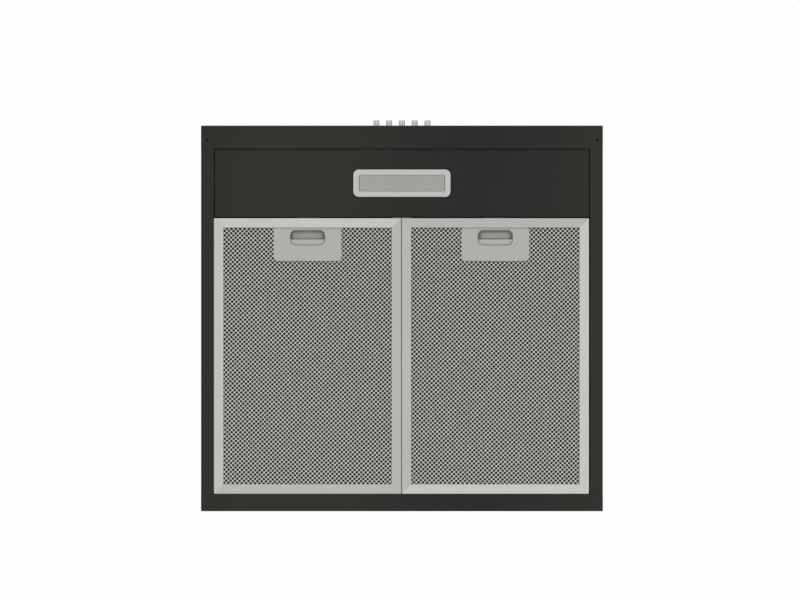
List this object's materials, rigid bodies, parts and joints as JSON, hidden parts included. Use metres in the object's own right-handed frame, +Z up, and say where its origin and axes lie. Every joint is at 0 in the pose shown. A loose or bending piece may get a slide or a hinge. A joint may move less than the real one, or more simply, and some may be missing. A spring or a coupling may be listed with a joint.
{
  "type": "cooker hood",
  "caption": "Flat under-cabinet cooker hood with sloped front, push buttons, lamp, tilting mesh grease filters, fan and duct collar.",
  "frame": {"origin": "centre of the top panel's outer face, which meets the cabinet above", "axes": "+X to the user's right, +Y towards the wall, +Z up out of the top panel"},
  "size_m": [0.5, 0.4882, 0.17],
  "materials": {
    "black_paint": "satin",
    "black_screw": "satin",
    "galvanised_steel": "satin",
    "brushed_aluminium": "satin",
    "expanded_aluminium": "satin",
    "mesh_pad": "matte",
    "grey_plastic": "satin",
    "silver_plastic": "satin",
    "frosted_lens": "matte",
    "white_plastic": "satin",
    "white_board": "satin",
    "black_plastic": "matte",
    "black_rubber": "matte",
    "motor_steel": "satin",
    "bright_steel": "polished",
    "capacitor_can": "satin",
    "lead_sheath": "satin"
  },
  "bodies": {
    "casing": {"front_panel": "black_paint", "top_panel": "black_paint", "rear_panel": "black_paint", "side_panel_left": "black_paint", "side_panel_right": "black_paint", "lamp_panel": "black_paint", "corner_screw_left": "black_screw", "corner_screw_right": "black_screw", "filter_rail": "galvanised_steel", "lamp_bezel": "silver_plastic", "lamp_lens": "frosted_lens", "lamp_housing": "white_plastic", "led_board": "white_board", "switch_block": "black_plastic", "switch_bracket": "black_paint", "fan_housing": "black_plastic", "fan_lid": "black_plastic", "inlet_guard": "black_plastic", "motor": "motor_steel", "motor_screw_1": "bright_steel", "motor_screw_2": "bright_steel", "motor_screw_3": "bright_steel", "outlet_collar": "black_plastic", "flap_pin": "bright_steel", "terminal_box": "black_plastic", "terminal_cover": "black_plastic", "capacitor": "capacitor_can", "cable_grommet": "black_rubber", "motor_connector": "white_plastic", "switch_lead": "lead_sheath", "lamp_lead": "lead_sheath", "motor_lead": "lead_sheath"},
    "button_1": {"button_1": "silver_plastic"},
    "button_2": {"button_2": "silver_plastic"},
    "button_3": {"button_3": "silver_plastic"},
    "button_4": {"button_4": "silver_plastic"},
    "button_5": {"button_5": "silver_plastic"},
    "filter_left": {"filter_frame_left": "brushed_aluminium", "filter_face_mesh_left": "expanded_aluminium", "filter_core_left": "mesh_pad", "filter_back_mesh_left": "mesh_pad", "filter_handle_left": "grey_plastic", "latch_tray_left": "grey_plastic", "latch_spring_left": "bright_steel"},
    "latch_left": {"latch_left": "grey_plastic"},
    "filter_right": {"filter_frame_right": "brushed_aluminium", "filter_face_mesh_right": "expanded_aluminium", "filter_core_right": "mesh_pad", "filter_back_mesh_right": "mesh_pad", "filter_handle_right": "grey_plastic", "latch_tray_right": "grey_plastic", "latch_spring_right": "bright_steel"},
    "latch_right": {"latch_right": "grey_plastic"},
    "rotor": {"motor_shaft": "bright_steel", "impeller": "white_plastic", "impeller_nut": "bright_steel"},
    "flap_front": {"outlet_flap_front": "black_plastic"},
    "flap_rear": {"outlet_flap_rear": "black_plastic"}
  },
  "joints": [
    {"name": "button_1_press", "type": "slide", "parent": "casing", "child": "button_1", "axis": [0, 1, 0], "range_m": [0, 0.004], "stiffness_N_per_m": 250},
    {"name": "button_2_press", "type": "slide", "parent": "casing", "child": "button_2", "axis": [0, 1, 0], "range_m": [0, 0.004], "stiffness_N_per_m": 250},
    {"name": "button_3_press", "type": "slide", "parent": "casing", "child": "button_3", "axis": [0, 1, 0], "range_m": [0, 0.004], "stiffness_N_per_m": 250},
    {"name": "button_4_press", "type": "slide", "parent": "casing", "child": "button_4", "axis": [0, 1, 0], "range_m": [0, 0.004], "stiffness_N_per_m": 250},
    {"name": "button_5_press", "type": "slide", "parent": "casing", "child": "button_5", "axis": [0, 1, 0], "range_m": [0, 0.004], "stiffness_N_per_m": 250},
    {"name": "filter_left_tilt", "type": "hinge", "parent": "casing", "child": "filter_left", "pos_m": [-0.11744, 0.2181, -0.1396], "axis": [1, 0, 0], "range_deg": [0, 60]},
    {"name": "latch_left_slide", "type": "slide", "parent": "filter_left", "child": "latch_left", "axis": [0, 1, 0], "range_m": [0, 0.005], "stiffness_N_per_m": 200},
    {"name": "filter_right_tilt", "type": "hinge", "parent": "casing", "child": "filter_right", "pos_m": [0.11624, 0.2181, -0.1396], "axis": [1, 0, 0], "range_deg": [0, 60]},
    {"name": "latch_right_slide", "type": "slide", "parent": "filter_right", "child": "latch_right", "axis": [0, 1, 0], "range_m": [0, 0.005], "stiffness_N_per_m": 200},
    {"name": "fan_spin", "type": "hinge", "parent": "casing", "child": "rotor", "pos_m": [-0.10976, -0.02, -0.04], "axis": [0, 0, 1], "continuous": true},
    {"name": "flap_front_lift", "type": "hinge", "parent": "casing", "child": "flap_front", "pos_m": [0, 0.09, 0.0009], "axis": [-1, 0, 0], "range_deg": [0, 78]},
    {"name": "flap_rear_lift", "type": "hinge", "parent": "casing", "child": "flap_rear", "pos_m": [0, 0.09, 0.0009], "axis": [1, 0, 0], "range_deg": [0, 78]}
  ]
}
